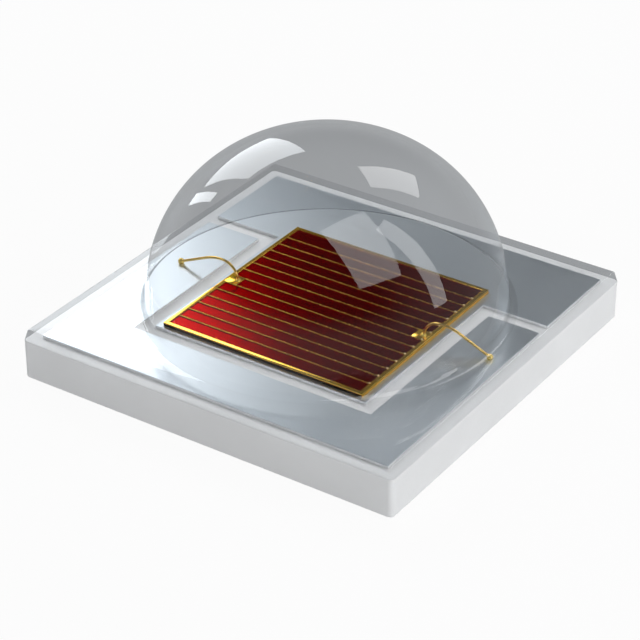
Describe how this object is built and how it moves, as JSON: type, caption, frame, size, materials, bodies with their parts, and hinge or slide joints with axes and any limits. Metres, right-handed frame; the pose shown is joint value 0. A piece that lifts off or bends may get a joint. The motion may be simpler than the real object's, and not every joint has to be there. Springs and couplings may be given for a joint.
{
  "type": "surface-mount high-power led",
  "caption": "Square ceramic surface-mount LED with a clear silicone dome over a red die and two gold bond wires.",
  "frame": {"origin": "centre of the underside, on the plane of the three solder faces", "axes": "+Z is the optical axis, up out of the dome; -Y is the front edge, with the front solder pad; +X runs along the gold fingers"},
  "size_m": [0.0036, 0.0036, 0.0019],
  "materials": {
    "ceramic": "satin",
    "solder_gold": "satin",
    "copper_fill": "satin",
    "silver_plate": "gloss",
    "die_solder": "satin",
    "carrier_metal": "satin",
    "mirror_metal": "polished",
    "red_emitter": "gloss",
    "contact_gold": "gloss",
    "wire_gold": "polished",
    "clear_silicone": "polished"
  },
  "bodies": {
    "root": {"ceramic_substrate": "ceramic", "heat_pad": "solder_gold", "solder_pad_front": "solder_gold", "solder_pad_rear": "solder_gold", "filled_holes_front": "copper_fill", "filled_holes_rear": "copper_fill", "top_pad_wires": "silver_plate", "top_pad_die": "silver_plate", "die_attach": "die_solder", "die_carrier": "carrier_metal", "die_mirror": "mirror_metal", "die_emitter": "red_emitter", "die_contact": "contact_gold", "bond_wire_left": "wire_gold", "bond_wire_right": "wire_gold", "end_ball_left": "wire_gold", "end_ball_right": "wire_gold", "silicone_lens": "clear_silicone"}
  },
  "joints": []
}
